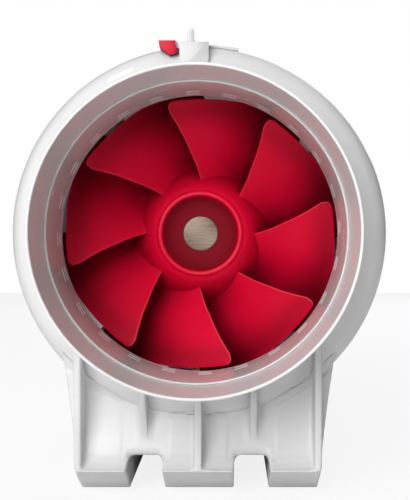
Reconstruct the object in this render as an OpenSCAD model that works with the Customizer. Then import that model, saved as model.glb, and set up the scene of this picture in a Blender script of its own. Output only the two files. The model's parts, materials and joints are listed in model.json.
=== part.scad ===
// Inline duct fan with a mixed-flow impeller in a round, acoustically lined body on a pedestal.
// The air goes in at -Y and out at +Y. +Z is up, and the pedestal stands on z = 0.
// "Depth" is a distance along the fan axis behind the nearer rim of the body.

/* [Body] */
// Outside diameter of both duct spigots
duct_od = 248; // [244:1:252]
// Length from the inlet rim to the outlet rim
body_len = 520; // [516:1:560]
// Outside diameter of the body
body_od = 314; // [308:1:320]
// Wall thickness of the casings
wall = 2.7; // [2.2:0.1:3.2]
// Height of the fan axis above the floor
axis_h = 214; // [212:1:225]

/* [Impeller] */
// Number of impeller blades
blade_count = 8; // [6:1:9]
// Axial thickness of a blade at its root
blade_t = 3.2; // [2.4:0.1:4]
// Angle by which a blade's leading edge sweeps forward from root to tip
blade_sweep = 16; // [8:1:20]
// Angle through which a blade wraps around the hub
blade_wrap = 60; // [50:1:64]
// Gap between the blade tips and the flow duct
tip_gap = 2.6; // [2:0.1:4]

/* [Perforated sleeve] */
// Slots in one row
slots_per_row = 24; // [12:1:30]
// Length of a slot around the sleeve
slot_len = 10.8; // [6:0.1:12]
// Width of a slot
slot_w = 2.2; // [1.5:0.1:3]

/* [Guide vanes] */
// Number of fixed guide vanes
vane_count = 11; // [7:1:13]
// Tilt of a guide vane
vane_tilt = 20; // [0:1:25]

/* [Pedestal] */
// Length of the pedestal along the fan axis
ped_len = 375; // [372:1:376]
// Width of the pedestal at the floor
ped_w = 199; // [190:1:200]
// Height of the notches between the feet
notch_h = 31; // [24:0.5:32]
// Radius of the fixing holes under the feet
fix_r = 2.75; // [2:0.05:3.5]

/* [Latch] */
// Width of the latch block
latch_w = 24; // [22:1:26]
// Height of the fin on the latch block
fin_h = 13; // [8:1:16]

/* [Terminal box] */
// Width of the terminal box
box_w = 116; // [110:1:124]
// Radius of the cable hole in the gland
cable_r = 5; // [3:0.1:5.5]

/* [Hidden] */
$fn = 96;

half = body_len / 2;
spigot_r = duct_od / 2;
body_r = body_od / 2;
sleeve_r = spigot_r - 7.6;
throat_r = sleeve_r + 0.6;

// Shoulder: a concave arc off the spigot, a cone, and a convex arc into the body
shoulder_end = 112;
joint_d = 121;
shoulder_turn = 60;
cove_r = 10;
crown_r = 26;
cone_len = (body_r - spigot_r - (cove_r + crown_r) * (1 - cos(shoulder_turn))) / sin(shoulder_turn);
shoulder_start = shoulder_end - (cove_r + crown_r) * sin(shoulder_turn) - cone_len * cos(shoulder_turn);
arc_steps = 6;

// Casing joints
flange_t = 4;
flange_in_r = body_r - 15;
gasket_t = 2;
centre_half = half - joint_d - gasket_t;
casing_screw_r = body_r - 9;
casing_screws_n = 6;

// Sleeve
sleeve_t = 1.8;
sleeve_front = 43;
sleeve_back = 109;
lip_front = 38.5;
slot_rows = [92, 103];
slot_turn = -2.5;

// Flow duct around the impeller
duct_wall = 2.4;
duct_max_r = throat_r + 20.5;
duct_half = half - sleeve_back - 0.6;
vane_half = 38;
flare_start = -146;
flare_end = -62;
close_start = 20;
close_end = 125;

// Impeller and motor stations along the axis
hub_nose = -131;
hub_back = -62;
hub_front_r = 36;
hub_back_r = 72;
hub_floor = -120;
lip_r = 2.4;
shaft_r = 6;
cap_r = 14.9;
cap_t = 1.4;
pod_r = 74;
pod_front = -58;
pod_back = 50;
motor_r = 60;
motor_front = -66;
motor_back = 46;
shield_t = 6;
bearing_r = 16;
bearing_w = 11;
rotor_r = 34;
run_gap = 0.05;
motor_screw_r = 42;

// Pedestal
ped_half = ped_len / 2;
ramp_depth = 24;
ramp_top = 86;
ramp_foot = 22;
toe_len = 38;
side_flare = 18.5;
cradle_top = 150;
duct_room = 8;
collar_r = body_r + 12;
rib_w = 6;
rib_xs = [-97, -45, 0, 45, 97];
notch_in = 29;
notch_out = 58;
lip_roll = 8;
lip_top = 43;
cell_wall = 3.5;
cell_rows = 5;
cell_len = 50;
fix_x = 78;
fix_y = 142;
fix_depth = 16;
plate_t = 7;
ped_screw_x = 14;
ped_screw_y = 91;
ped_screw_z = axis_h - body_r - plate_t;

// Latch, with x and z measured from the fan axis
latch_x0 = -15.5;
latch_front = 84;
latch_back = 138;
grip_angle = 239;
grip_span = 9;
grip_in = 13.5;
grip_w = 3;
grip_depth = 91.2;
screw_clear_r = 2.2;
strap_front = 100;
strap_back = 144;
strap_t = 1.6;
strap_gap = 0.3;
strap_end_angle = 12;
pivot_x = -20;
pivot_z = body_r - 2;
lever_front = 85;
lever_back = 101;
tongue_front = 90.2;
tongue_t = 5.6;
lever_pin_r = 1.5;

// Terminal box
box_y0 = ped_half;
box_d = 32;
box_z0 = notch_h + 1;
box_h = 50;
box_wall = 2.5;
post_in = 7;
gland_z = box_z0 + box_h / 2;
gland_y = box_y0 + box_d / 2;

function smooth(t) = let (s = min(1, max(0, t))) s * s * (3 - 2 * s);

// Inside radius of the flow duct at axial position y
function duct_r(y) = throat_r
    + (duct_max_r - throat_r) * smooth((y - flare_start) / (flare_end - flare_start))
    - (duct_max_r - throat_r) * smooth((y - close_start) / (close_end - close_start));

// Outside radius of the hub at axial position y
function hub_r(y) = hub_front_r
    + (hub_back_r - hub_front_r) * pow(max(0, (y - hub_nose) / (hub_back - hub_nose)), 0.62);

// Shoulder outline at a distance "off" inside the outer surface, as [radius, depth]
function shoulder(off) = concat(
    [for (i = [0 : arc_steps]) let (a = 180 - shoulder_turn * i / arc_steps)
        [spigot_r + cove_r + (cove_r + off) * cos(a), shoulder_start + (cove_r + off) * sin(a)]],
    [for (i = [0 : arc_steps]) let (a = shoulder_turn * (i / arc_steps - 1))
        [body_r - crown_r + (crown_r - off) * cos(a), shoulder_end + (crown_r - off) * sin(a)]]
);

function reversed(v) = [for (i = [len(v) - 1 : -1 : 0]) v[i]];

// Puts local Z on the fan axis, towards the outlet
module on_axis() {
    translate([0, 0, axis_h]) rotate([-90, 0, 0]) children();
}

// Puts local Z on the fan axis, inwards from the inlet rim
module from_inlet() {
    on_axis() translate([0, 0, -half]) children();
}

// Puts local Z on the fan axis, inwards from the outlet rim
module from_outlet() {
    mirror([0, 1, 0]) from_inlet() children();
}

// Ring between two radii and two axial positions
module ring(r_in, r_out, y0, y1) {
    rotate_extrude()
        translate([r_in, y0]) square([r_out - r_in, y1 - y0]);
}

// Copies children around the fan axis
module around(n, first = 0) {
    for (i = [0 : n - 1]) rotate([0, 0, first + i * 360 / n]) children();
}

// Solid of revolution that fills the body out to the casing's outer surface plus "grow"
module body_space(grow) {
    rotate_extrude() polygon(concat([[0, 0], [spigot_r + grow, 0]], shoulder(-grow),
        [[body_r + grow, half], [0, half]]));
}

// Screw along +Z with its head below z = 0
module screw(head_r, head_h, shank_r, length) {
    difference() {
        union() {
            translate([0, 0, -head_h]) cylinder(r = head_r, h = head_h);
            cylinder(r = shank_r, h = length);
        }
        translate([0, 0, -head_h - 0.1]) cylinder(r = shank_r * 0.8, h = head_h * 0.6, $fn = 6);
    }
}

// ---- Casings ----

module end_casing() {
    rim = wall / 2;
    difference() {
        rotate_extrude() polygon(concat(
            [for (i = [0 : arc_steps]) let (a = -180 * (1 - i / arc_steps))
                [spigot_r - rim + rim * cos(a), rim + rim * sin(a)]],
            shoulder(0),
            [[body_r, joint_d], [flange_in_r, joint_d], [flange_in_r, joint_d - flange_t],
             [body_r - wall, joint_d - flange_t]],
            reversed(shoulder(wall))
        ));
        around(casing_screws_n, 15) translate([casing_screw_r, 0, joint_d - flange_t - 1])
            cylinder(r = screw_clear_r, h = flange_t + 2, $fn = 24);
        // shallow grip recess on the upper left of the shoulder
        rotate([0, 0, grip_angle]) rotate_extrude(angle = grip_span)
            translate([body_r - grip_in, 0]) square([grip_w, grip_depth]);
    }
}

module end_sleeve() {
    lip_out = spigot_r - wall - 0.1;
    cove = lip_out - sleeve_r - 1;
    difference() {
        rotate_extrude() polygon(concat(
            [[sleeve_r, sleeve_back], [sleeve_r, sleeve_front + 1]],
            [for (i = [0 : 4]) let (a = 90 * i / 4)
                [sleeve_r + 1 - cos(a), sleeve_front + 1 - sin(a)]],
            [for (i = [1 : 5]) let (a = -90 + 90 * i / 5)
                [sleeve_r + 1 + cove * cos(a), sleeve_front + (sleeve_front - lip_front) * (-1 - sin(a))]],
            [[lip_out, sleeve_front + 5], [sleeve_r + sleeve_t, sleeve_front + 8],
             [sleeve_r + sleeve_t, sleeve_back]]
        ));
        for (row = slot_rows) around(slots_per_row, slot_turn)
            translate([sleeve_r + 1, 0, row]) cube([8, slot_len, slot_w], center = true);
    }
}

module end_foam() {
    inner = sleeve_r + sleeve_t + 0.4;
    rotate_extrude() polygon(concat([[inner, shoulder_start]], shoulder(wall + 0.4),
        [[inner + 2, shoulder_end], [inner + 2, sleeve_back - 1], [inner, sleeve_back - 1]]));
}

module end_gasket() {
    difference() {
        ring(flange_in_r, body_r - 0.6, joint_d, joint_d + gasket_t);
        around(casing_screws_n, 15) translate([casing_screw_r, 0, joint_d - 1])
            cylinder(r = screw_clear_r, h = gasket_t + 2, $fn = 24);
    }
}

module end_screws() {
    around(casing_screws_n, 15) translate([casing_screw_r, 0, joint_d - flange_t])
        screw(4, 2.8, 2, flange_t + gasket_t + 3.5, $fn = 24);
}

module inlet_casing() { color("white") from_inlet() end_casing(); }
module outlet_casing() { color("white") from_outlet() end_casing(); }
module inlet_sleeve() { color("gainsboro") from_inlet() end_sleeve(); }
module outlet_sleeve() { color("gainsboro") from_outlet() end_sleeve(); }
module inlet_foam() { color("dimgray") from_inlet() end_foam(); }
module outlet_foam() { color("dimgray") from_outlet() end_foam(); }
module inlet_gasket() { color("darkslategray") from_inlet() end_gasket(); }
module outlet_gasket() { color("darkslategray") from_outlet() end_gasket(); }
module inlet_screws() { color("silver") from_inlet() end_screws(); }
module outlet_screws() { color("silver") from_outlet() end_screws(); }

module centre_casing() {
    color("white") difference() {
        union() {
            on_axis() rotate_extrude() polygon([
                [body_r, -centre_half], [body_r, centre_half], [body_r - wall, centre_half],
                [body_r - wall, flange_t - centre_half], [throat_r + 4.2, flange_t - centre_half],
                [throat_r + 4.2, -centre_half]
            ]);
            // screw bosses over the pedestal
            intersection() {
                for (x = [-1, 1], y = [-1, 1])
                    translate([x * ped_screw_x, y * ped_screw_y, axis_h - body_r - 5])
                        cylinder(r = 5, h = 17);
                on_axis() translate([0, 0, -centre_half]) cylinder(r = body_r - 1, h = 2 * centre_half);
            }
        }
        on_axis() around(casing_screws_n, 15) translate([casing_screw_r, 0, -centre_half - 1])
            cylinder(r = 2, h = flange_t + 2, $fn = 24);
        for (x = [-1, 1], y = [-1, 1])
            translate([x * ped_screw_x, y * ped_screw_y, axis_h - body_r - 5]) cylinder(r = 2, h = 16);
    }
}

module centre_foam() {
    y0 = flange_t - centre_half + 0.5;
    y1 = centre_half - flange_t - 0.5;
    steps = 32;
    color("dimgray") difference() {
        on_axis() rotate_extrude() polygon(concat(
            [for (i = [0 : steps]) let (y = y0 + (y1 - y0) * i / steps) [duct_r(y) + duct_wall + 0.4, y]],
            [[body_r - wall - 0.4, y1], [body_r - wall - 0.4, y0]]
        ));
        for (x = [-1, 1], y = [-1, 1])
            translate([x * ped_screw_x, y * ped_screw_y, axis_h - body_r - 5]) cylinder(r = 5.5, h = 18);
    }
}

// ---- Flow duct: impeller shroud, guide vanes with the motor pod, and diffuser ----

// Wall of the flow duct between two axial positions
module duct_wall_part(y0, y1, steps) {
    ys = [for (i = [0 : steps]) y0 + (y1 - y0) * i / steps];
    rotate_extrude() polygon(concat(
        [for (y = ys) [duct_r(y), y]],
        [for (y = reversed(ys)) [duct_r(y) + duct_wall, y]]
    ));
}

module impeller_shroud() {
    color("whitesmoke") on_axis() duct_wall_part(-duct_half, -vane_half, 20);
}

module guide_vane_ring() {
    color("whitesmoke") on_axis() difference() {
        union() {
            duct_wall_part(-vane_half, vane_half, 10);
            ring(pod_r - 3, pod_r, pod_front, pod_back);
            ring(bearing_r + 8, pod_r - 1, motor_back, pod_back);
            intersection() {
                around(vane_count) translate([(pod_r + duct_max_r) / 2, 0, 0])
                    rotate([vane_tilt, 0, 0]) cube([duct_max_r - pod_r + 8, 2.4, 90], center = true);
                rotate_extrude() polygon(concat(
                    [[pod_r - 1, vane_half], [pod_r - 1, -vane_half]],
                    [for (i = [0 : 10]) let (y = vane_half * (i / 5 - 1)) [duct_r(y) + 1, y]]
                ));
            }
        }
        around(4, 45) translate([motor_screw_r, 0, motor_back - 1])
            cylinder(r = screw_clear_r, h = 6, $fn = 24);
    }
}

module outlet_diffuser() {
    color("whitesmoke") on_axis() difference() {
        union() {
            duct_wall_part(vane_half, duct_half, 20);
            ring(throat_r + 1, body_r - wall - 0.3, centre_half - flange_t, centre_half);
        }
        around(casing_screws_n, 15) translate([casing_screw_r, 0, centre_half - flange_t - 1])
            cylinder(r = 2, h = flange_t + 2, $fn = 24);
    }
}

module tail_cone() {
    length = 86;
    steps = 14;
    tip_r = 10;
    color("whitesmoke") on_axis() rotate_extrude() polygon(concat(
        [for (i = [0 : steps]) let (t = i / steps)
            [tip_r + (pod_r - 0.5 - tip_r) * sqrt(1 - t * t), pod_back + length * t]],
        [[0, pod_back + length], [0, pod_back + length - 2.5]],
        [for (i = [steps : -1 : 0]) let (t = i / steps)
            [tip_r - 2 + (pod_r - 3 - tip_r) * sqrt(1 - t * t), pod_back + (length - 2.5) * t]]
    ));
}

// ---- Impeller and rotor ----

blade_u = 9;
blade_v = 6;
lead_root = hub_floor;
lead_tip = flare_start + 1;
trail_root = hub_back - 4;
trail_tip = hub_back - 10;
corner = 10;

// Point on a blade: u from leading to trailing edge, v from root to tip, t is the axial thickness
function blade_point(u, v, t) =
    let (y_lead = lead_root + (lead_tip - lead_root) * v)
    let (y_trail = trail_root + (trail_tip - trail_root) * v)
    let (y = y_lead + (y_trail - y_lead) * u)
    let (r = (hub_r(y) - 1.6) * (1 - v) + (duct_r(y) - tip_gap) * v)
    let (near_tip = max(0, corner - (1 - v) * (throat_r - hub_front_r)))
    let (round_off = (corner - sqrt(corner * corner - near_tip * near_tip)) / throat_r * 57.3)
    let (a = blade_sweep * (1 - v) + blade_wrap * (1.35 * u - 0.35 * u * u) + round_off * (1 - u))
    [r * sin(a), -r * cos(a), y + t * (1 - 0.4 * v)];

module blade() {
    nv = blade_v + 1;
    side = (blade_u + 1) * nv;
    points = [for (t = [0, blade_t], i = [0 : blade_u], j = [0 : blade_v])
        blade_point(i / blade_u, j / blade_v, t)];
    quads = concat(
        [for (i = [0 : blade_u - 1], j = [0 : blade_v - 1])
            let (p = i * nv + j) [p, p + nv, p + nv + 1, p + 1]],
        [for (i = [0 : blade_u - 1], j = [0 : blade_v - 1])
            let (p = side + i * nv + j) [p, p + 1, p + nv + 1, p + nv]],
        [for (i = [0 : blade_u - 1]) let (p = i * nv) [p, p + side, p + side + nv, p + nv]],
        [for (i = [0 : blade_u - 1]) let (p = i * nv + blade_v) [p, p + nv, p + side + nv, p + side]],
        [for (j = [0 : blade_v - 1]) let (p = j) [p, p + 1, p + side + 1, p + side]],
        [for (j = [0 : blade_v - 1]) let (p = blade_u * nv + j) [p, p + side, p + side + 1, p + 1]]
    );
    polyhedron(points, [for (q = quads, k = [0, 1]) k == 0 ? [q[0], q[2], q[1]] : [q[0], q[3], q[2]]]);
}

module impeller() {
    $fn = 48;
    steps = 10;
    fit = 0.1;
    bowl_r = hub_front_r - 1.4 - lip_r;
    lip_y = hub_nose + 0.4;
    color("crimson") on_axis() union() {
        rotate_extrude() polygon(concat(
            [for (i = [0 : steps]) let (y = lip_y + (hub_back - lip_y) * i / steps) [hub_r(y), y]],
            [for (i = [steps : -1 : 1]) let (y = lip_y + 7 + (hub_back - lip_y - 7) * i / steps)
                [hub_r(y) - 3, y]],
            [[36, -125], [30, -117.5], [cap_r, hub_floor + 4], [11, hub_floor + 4],
             [11, hub_floor + cap_t], [cap_r + fit, hub_floor + cap_t], [cap_r + fit, hub_floor]],
            [for (i = [0 : arc_steps]) let (a = 90 - 90 * i / arc_steps)
                [16 + (bowl_r - 16) * cos(a), lip_y + (hub_floor - lip_y) * sin(a)]],
            [for (i = [1 : arc_steps - 1]) let (a = 180 + 180 * i / arc_steps)
                [bowl_r + lip_r + lip_r * cos(a), lip_y + lip_r * sin(a)]]
        ));
        ring(shaft_r + fit / 2, 14, -108, -74);
        ring(13, 55, -100, -96);
        around(blade_count, 29) blade();
    }
}

module hub_cap() {
    color("tan") on_axis() translate([0, 0, hub_floor]) cylinder(r = cap_r, h = cap_t);
}

module impeller_nut() {
    color("silver") on_axis() difference() {
        translate([0, 0, -114.5]) cylinder(r = 9.6, h = 6.5, $fn = 6);
        translate([0, 0, -116]) cylinder(r = shaft_r, h = 10);
    }
}

module motor_shaft() {
    color("silver") on_axis() translate([0, 0, -116]) cylinder(r = shaft_r, h = 116 + motor_back - 1);
}

module rotor_core() {
    color("slategray") on_axis() ring(shaft_r, rotor_r, -34, 20);
}

// ---- Motor ----

module bearing(y) {
    color("lightsteelblue") on_axis() difference() {
        ring(shaft_r + run_gap, bearing_r, y, y + bearing_w);
        for (face = [y - 1, y + bearing_w - 0.8]) ring(9.2, 12.8, face, face + 1.8);
    }
}

module front_bearing() { bearing(motor_front + 2); }
module rear_bearing() { bearing(motor_back - 2 - bearing_w); }

module stator_core() {
    color("slategray") on_axis() difference() {
        ring(rotor_r + 0.5, motor_r - 3, -32, 18);
        around(12) translate([rotor_r + 9, 0, -33]) cylinder(r = 4, h = 52, $fn = 24);
    }
}

module stator_windings() {
    color("peru") on_axis() {
        around(12) translate([rotor_r + 9, 0, -34]) cylinder(r = 3.7, h = 54, $fn = 24);
        for (y = [-40, 26]) translate([0, 0, y]) rotate_extrude() translate([rotor_r + 11, 0]) circle(r = 7);
    }
}

module motor_housing() {
    color("silver") on_axis() ring(motor_r - 3, motor_r, motor_front + shield_t, motor_back - shield_t);
}

module motor_front_shield() {
    color("silver") on_axis() {
        ring(bearing_r, motor_r, motor_front, motor_front + shield_t);
        ring(bearing_r, bearing_r + 4, motor_front + 1, motor_front + 2 + bearing_w);
    }
}

module motor_rear_cover() {
    color("silver") on_axis() difference() {
        union() {
            ring(bearing_r, motor_r, motor_back - shield_t, motor_back);
            ring(bearing_r, bearing_r + 4, motor_back - 2 - bearing_w, motor_back - 1);
        }
        around(4, 45) translate([motor_screw_r, 0, motor_back - shield_t - 1])
            cylinder(r = 2, h = shield_t + 2, $fn = 24);
    }
}

module motor_screws() {
    color("silver") on_axis() around(4, 45) translate([motor_screw_r, 0, pod_back])
        rotate([180, 0, 0]) screw(4, 2.8, 2, pod_back - motor_back + shield_t - 1, $fn = 24);
}

// ---- Straps and latches ----

module strap() {
    rotate([0, 0, -90]) rotate_extrude(angle = strap_end_angle) polygon(concat(
        strap_line(strap_gap), [[body_r + strap_gap, strap_back], [body_r + strap_gap + strap_t, strap_back]],
        reversed(strap_line(strap_gap + strap_t))
    ));
    // raised bar near the anchor end of the strap
    rotate([0, 0, strap_end_angle - 93]) rotate_extrude(angle = 2)
        translate([body_r + strap_gap + 1, shoulder_end + 1]) square([strap_t, strap_back - shoulder_end - 2]);
}

// Outline of the strap over the crown of the shoulder, at a distance above the casing
function strap_line(off) =
    let (first = asin((shoulder_end - strap_front) / (crown_r + strap_gap)))
    [for (i = [0 : 4]) let (a = -first * (1 - i / 4))
        [body_r - crown_r + (crown_r + off) * cos(a), shoulder_end + (crown_r + off) * sin(a)]];

// Block that stands on the shoulder, bridges the strap and carries the lever's tongue
module latch_block() {
    top_z = body_r + 6;
    difference() {
        translate([0, -half, axis_h]) union() {
            translate([latch_x0, 0, 0]) rotate([90, 0, 90]) linear_extrude(latch_w) polygon([
                [latch_front, spigot_r], [latch_back, spigot_r], [latch_back, top_z],
                [shoulder_end + 6, top_z], [latch_front, body_r - 1.2]
            ]);
            translate([pivot_x, tongue_front, pivot_z]) rotate([-90, 0, 0]) cylinder(r = 3.4, h = tongue_t);
            translate([pivot_x, tongue_front, pivot_z - 3.4])
                cube([latch_x0 - pivot_x + 1, tongue_t, 4.4]);
            translate([latch_x0 + 7.8, shoulder_end + 10, top_z - 0.5]) rotate([-90, 0, 0]) fin();
        }
        from_inlet() body_space(strap_gap);
        intersection() {
            from_inlet() body_space(strap_gap + strap_t + 0.2);
            translate([-2, strap_front - half - 2, 0]) cube([60, 80, 2 * axis_h]);
        }
        translate([pivot_x, -half, axis_h + pivot_z]) rotate([-90, 0, 0])
            cylinder(r = lever_pin_r + run_gap, h = latch_front + 16);
    }
}

// Upright finger fin with a rounded top, drawn upwards along local -Y
module fin() {
    linear_extrude(22) union() {
        polygon([[-3.4, 0], [3.4, 0], [2.7, 2.7 - fin_h], [-2.7, 2.7 - fin_h]]);
        translate([0, 2.7 - fin_h]) circle(r = 2.7);
    }
}

module latch_lever() {
    difference() {
        translate([0, lever_front - half, axis_h]) union() {
            translate([0, lever_back - lever_front, 0]) rotate([90, 0, 0])
                linear_extrude(lever_back - lever_front) polygon([
                    [-32.6, body_r + 0.2], [-18.8, body_r + 0.2], [-18.4, body_r - 10.6],
                    [-23.7, body_r - 11.8], [-31.8, body_r - 5.2]
                ]);
            translate([-18.9, 1, body_r - 10]) cube([2.9, 3, 3]);
        }
        from_inlet() body_space(0.5);
        translate([pivot_x - 4.2, tongue_front - 0.3 - half, axis_h + pivot_z - 4.2])
            cube([8, tongue_t + 0.6, 12]);
        translate([pivot_x, lever_front + 2 - half, axis_h + pivot_z]) rotate([-90, 0, 0])
            cylinder(r = lever_pin_r, h = 20);
    }
}

module latch_pin() {
    translate([pivot_x, lever_front + 2 - half, axis_h + pivot_z]) rotate([-90, 0, 0])
        cylinder(r = lever_pin_r, h = 13);
}

module front_strap() { color("gainsboro") from_inlet() strap(); }
module rear_strap() { color("gainsboro") from_outlet() strap(); }
module front_latch_block() { color("white") latch_block(); }
module rear_latch_block() { color("white") mirror([0, 1, 0]) latch_block(); }
module front_latch_lever() { color("crimson") latch_lever(); }
module rear_latch_lever() { color("crimson") mirror([0, 1, 0]) latch_lever(); }
module front_latch_pin() { color("silver") latch_pin(); }
module rear_latch_pin() { color("silver") mirror([0, 1, 0]) latch_pin(); }

// ---- Pedestal ----

// Front view of the pedestal, as [x, z]
module ped_front() {
    side = [[ped_w / 2, 0], [ped_w / 2, ramp_foot], [ped_w / 2 + side_flare, cradle_top]];
    polygon(concat(side, [for (p = reversed(side)) [-p[0], p[1]]]));
}

// Side view of the feet and ribs, as [y, z], with a raised toe at each end
module ped_side() {
    end = [[ped_half - toe_len, 0], [ped_half, ramp_foot], [ped_half, cradle_top]];
    polygon(concat(end, [for (p = reversed(end)) [-p[0], p[1]]]));
}

// Side view of one end's hollow ramp between the ribs, as [y, z]
module ped_ramp() {
    polygon(concat(
        [for (i = [0 : 8]) let (a = 90 * i / 8)
            [ped_half + 1 - (ramp_depth + 1) * sin(a), ramp_top - (ramp_top - ramp_foot) * cos(a)]],
        [[ped_half - ramp_depth, cradle_top + 1], [ped_half + 1, cradle_top + 1]]
    ));
}

// Side view of the lip over a notch, as [y, z]: rolled under below and swept back above
module ped_lip() {
    inner = ped_half - ramp_depth - 4;
    polygon(concat(
        [[inner, notch_h]],
        [for (i = [0 : arc_steps]) let (a = -90 + 90 * i / arc_steps)
            [ped_half - lip_roll + lip_roll * cos(a), notch_h + lip_roll + lip_roll * sin(a)]],
        [for (i = [0 : 8]) let (a = 90 * i / 8)
            [ped_half - ramp_depth * sin(a), ramp_top - (ramp_top - lip_top) * cos(a)]],
        [[inner, ramp_top]]
    ));
}

// Cone that carries on from the shoulder of the inlet casing, down to the ramp
module ped_collar() {
    cone_d = shoulder_start + cove_r * sin(shoulder_turn);
    cone_r = spigot_r + cove_r * (1 - cos(shoulder_turn));
    reach = collar_r - cone_r;
    from_inlet() rotate_extrude() polygon([
        [cone_r, cone_d], [collar_r, cone_d + reach / tan(shoulder_turn)],
        [collar_r, joint_d + 20], [cone_r, joint_d + 20]
    ]);
}

module ped_cells(x0, x1, z0, z1) {
    pitch = cell_len + cell_wall;
    for (i = [0 : cell_rows - 1]) {
        y = (i - (cell_rows - 1) / 2) * pitch;
        translate([x0, y - cell_len / 2, z0]) cube([x1 - x0, cell_len, z1 - z0]);
    }
}

// Both ends of the pedestal
module at_ped_ends() {
    children();
    mirror([0, 1, 0]) children();
}

module pedestal() {
    color("white") difference() {
        intersection() {
            translate([0, ped_half, 0]) rotate([90, 0, 0]) linear_extrude(ped_len) ped_front();
            translate([-160, 0, 0]) rotate([90, 0, 90]) linear_extrude(320) ped_side();
            union() {
                difference() {
                    translate([-160, -ped_half, 0]) cube([320, ped_len, cradle_top]);
                    at_ped_ends() translate([-160, 0, 0]) rotate([90, 0, 90]) linear_extrude(320) ped_ramp();
                }
                at_ped_ends() ped_collar();
                for (x = rib_xs) translate([x - rib_w / 2, -ped_half, 0]) cube([rib_w, ped_len, cradle_top]);
                // lips over the notches
                at_ped_ends() for (s = [-1, 1])
                    translate([s * (notch_in + notch_out) / 2, 0, 0]) rotate([90, 0, 90])
                        linear_extrude(notch_out - notch_in + 4, center = true) ped_lip();
            }
        }
        at_ped_ends() from_inlet() body_space(0.1);
        at_ped_ends() from_inlet() translate([0, 0, -1])
            cylinder(r = spigot_r + duct_room, h = shoulder_start + 8);
        for (s = [-1, 1]) {
            // notch between two feet, through the whole length
            translate([s * (notch_in + notch_out) / 2, 0, 0]) rotate([90, 0, 0])
                linear_extrude(ped_len + 10, center = true) notch_outline();
        }
        ped_cells(rib_w / 2, notch_in - cell_wall, -1, ped_screw_z);
        ped_cells(cell_wall - notch_in, -rib_w / 2, -1, ped_screw_z);
        for (s = [-1, 1]) {
            mirror([s < 0 ? 1 : 0, 0, 0]) {
                ped_cells(notch_out + cell_wall, ped_w / 2 - 2 * cell_wall, -1, axis_h - body_r + 8);
                ped_cells(notch_in + cell_wall, notch_out - cell_wall, 5, axis_h - body_r - cell_wall);
            }
        }
        for (x = [-1, 1], y = [-1, 1]) {
            translate([x * fix_x, y * fix_y, -1]) cylinder(r = fix_r, h = fix_depth + 1);
            translate([x * ped_screw_x, y * ped_screw_y, ped_screw_z - 1])
                cylinder(r = screw_clear_r, h = plate_t + 5);
        }
    }
}

// Notch outline with rounded top corners, as [x, z] about the notch's middle
module notch_outline() {
    w = notch_out - notch_in;
    r = 5;
    translate([-w / 2, -1]) square([w, notch_h - r + 1]);
    translate([r - w / 2, 0]) square([w - 2 * r, notch_h]);
    for (s = [-1, 1]) translate([s * (w / 2 - r), notch_h - r]) circle(r = r, $fn = 32);
}

module pedestal_screws() {
    color("silver") for (x = [-1, 1], y = [-1, 1])
        translate([x * ped_screw_x, y * ped_screw_y, ped_screw_z]) screw(4.5, 3, 2, 16, $fn = 24);
}

// ---- Terminal box ----

module box_outline(inset) {
    w = box_w - 2 * inset;
    h = box_h - 2 * inset;
    r = 6 - min(inset, 3);
    translate([-w / 2 + r, -h / 2]) square([w - 2 * r, h]);
    translate([-w / 2, -h / 2 + r]) square([w, h - 2 * r]);
    for (x = [-1, 1], y = [-1, 1]) translate([x * (w / 2 - r), y * (h / 2 - r)]) circle(r = r, $fn = 32);
}

// Puts a box outline at axial position y and extrudes it towards the outlet
module box_slab(y, t, inset) {
    translate([0, y + t, box_z0 + box_h / 2]) rotate([90, 0, 0]) linear_extrude(t) box_outline(inset);
}

module at_box_corners() {
    for (x = [-1, 1], z = [-1, 1])
        translate([x * (box_w / 2 - post_in), box_y0, box_z0 + box_h / 2 + z * (box_h / 2 - post_in)])
            rotate([-90, 0, 0]) children();
}

module terminal_box() {
    color("white") difference() {
        union() {
            difference() {
                box_slab(box_y0, box_d, 0);
                box_slab(box_y0 + box_wall, box_d, box_wall);
            }
            intersection() {
                at_box_corners() cylinder(r = 5, h = box_d);
                box_slab(box_y0, box_d, 1);
            }
        }
        at_box_corners() translate([0, 0, 8]) cylinder(r = 1.5, h = box_d, $fn = 24);
        translate([box_w / 2 - 6, gland_y, gland_z]) rotate([0, 90, 0]) cylinder(r = 8, h = 12);
    }
}

module terminal_box_gasket() {
    color("darkslategray") difference() {
        box_slab(box_y0 + box_d, 1.2, 0.6);
        box_slab(box_y0 + box_d - 1, 4, box_wall + 1);
        at_box_corners() cylinder(r = 1.8, h = box_d + 6, $fn = 24);
    }
}

module terminal_box_lid() {
    color("white") difference() {
        union() {
            box_slab(box_y0 + box_d + 1.2, 3, 0);
            box_slab(box_y0 + box_d + 1.2, 5, 14);
        }
        at_box_corners() cylinder(r = 1.8, h = box_d + 8, $fn = 24);
    }
}

module terminal_box_screws() {
    color("silver") at_box_corners() translate([0, 0, box_d + 4.2])
        rotate([180, 0, 0]) screw(3.2, 2, 1.5, 20, $fn = 24);
}

module terminal_block() {
    wells = 5;
    pitch = 8;
    color("gainsboro") difference() {
        translate([-46, box_y0 + box_wall, gland_z - 9]) cube([wells * pitch + 3, 16, 18]);
        for (i = [0 : wells - 1], z = [-4.5, 4.5])
            translate([-40.5 + i * pitch, box_y0 + box_wall + 8, gland_z + z]) rotate([-90, 0, 0])
                cylinder(r = 2.4, h = 10, $fn = 24);
    }
}

module run_capacitor() {
    r = 11;
    color("whitesmoke") translate([1, box_y0 + box_wall + r, gland_z]) rotate([0, 90, 0]) union() {
        cylinder(r = r, h = 38);
        translate([0, 0, 38]) cylinder(r = 4, h = 3);
    }
}

module on_gland() {
    translate([box_w / 2, gland_y, gland_z]) rotate([0, 90, 0]) children();
}

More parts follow.
